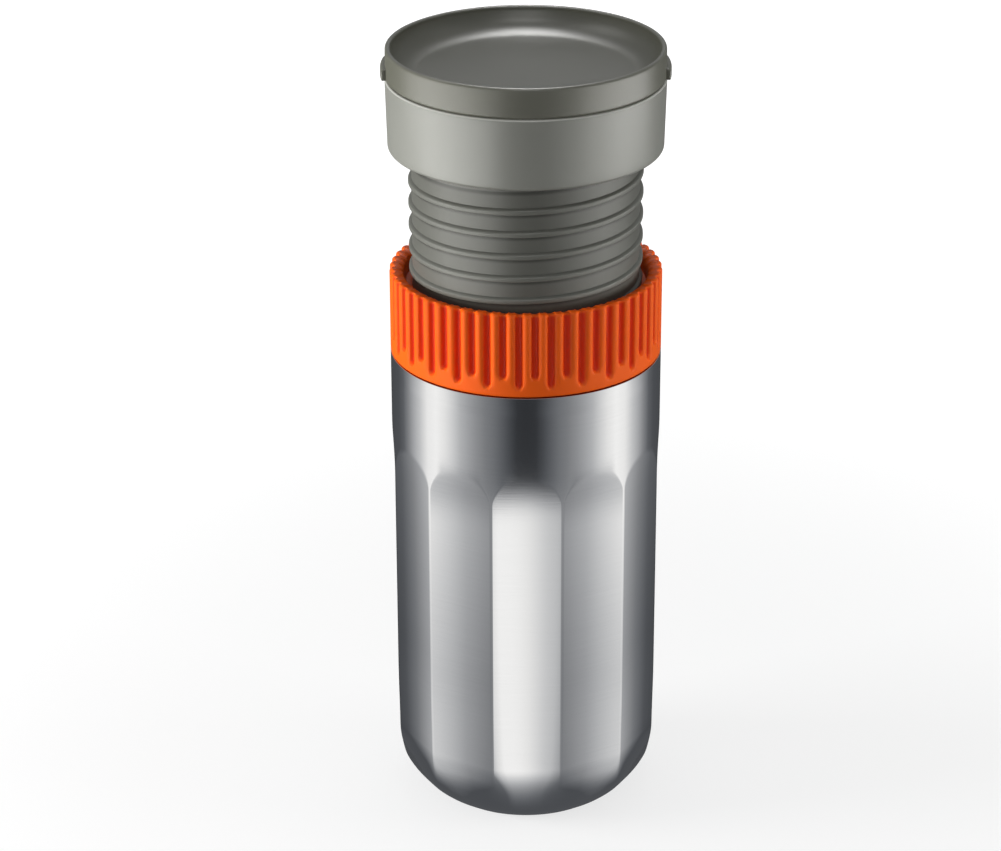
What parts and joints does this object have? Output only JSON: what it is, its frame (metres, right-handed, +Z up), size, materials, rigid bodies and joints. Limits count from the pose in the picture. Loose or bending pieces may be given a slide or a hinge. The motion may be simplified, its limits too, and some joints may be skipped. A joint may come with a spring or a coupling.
{
  "type": "portable coffee maker",
  "caption": "Portable vacuum-press coffee maker: faceted steel mug with a ribbed orange screw ring that lifts a threaded water chamber with funnel collar and dished lid.",
  "frame": {"origin": "middle of the mug's base, on the table", "axes": "+Z up along the mug's axis, -Y towards the front that the picture shows, +X to its right"},
  "size_m": [0.077, 0.0748, 0.2203],
  "materials": {
    "steel": "fine brushed",
    "steel_inside": "satin",
    "mesh": "satin",
    "getter": "satin",
    "slip": "satin",
    "nut": "satin",
    "grip": "soft matt",
    "tube": "satin",
    "collar": "satin",
    "lid": "satin",
    "seal": "soft matt",
    "basket": "satin"
  },
  "bodies": {
    "mug": {"mug_outer_shell": "steel", "mug_inner_liner": "steel_inside", "mug_base_plate": "steel", "vacuum_getter": "getter"},
    "carrier": {"lip_washer": "slip"},
    "ring": {"ring_core": "nut", "ring_grip": "grip"},
    "chamber": {"water_chamber": "tube", "filling_collar": "collar", "collar_seal": "seal", "shower_screen": "mesh", "screen_snap_ring": "mesh"},
    "lid_body": {"lid": "lid", "lid_gasket": "seal"},
    "basket": {"filter_basket": "basket", "basket_gasket": "seal", "piston_seal": "seal", "basket_filter": "mesh", "filter_clamp_ring": "basket"}
  },
  "joints": [
    {"name": "brewer_lift", "type": "slide", "parent": "mug", "child": "carrier", "axis": [0, 0, 1], "range_m": [0, 0.14]},
    {"name": "ring_turn", "type": "hinge", "parent": "carrier", "child": "ring", "pos_m": [0, 0, 0.147], "axis": [0, 0, -1], "range_deg": [-1968.39, 3600]},
    {"name": "chamber_lift", "type": "slide", "parent": "carrier", "child": "chamber", "axis": [0, 0, 1], "range_m": [-0.0339, 0.062]},
    {"name": "lid_lift", "type": "slide", "parent": "chamber", "child": "lid_body", "axis": [0, 0, 1], "range_m": [0, 0.06]},
    {"name": "basket_lock", "type": "hinge", "parent": "chamber", "child": "basket", "pos_m": [0, 0, 0.0786], "axis": [0, 0, 1], "range_deg": [-30, 0]}
  ],
  "couplings": [
    {"joint": "chamber_lift", "follows": "ring_turn", "m_per_rad": 0.00098676}
  ]
}
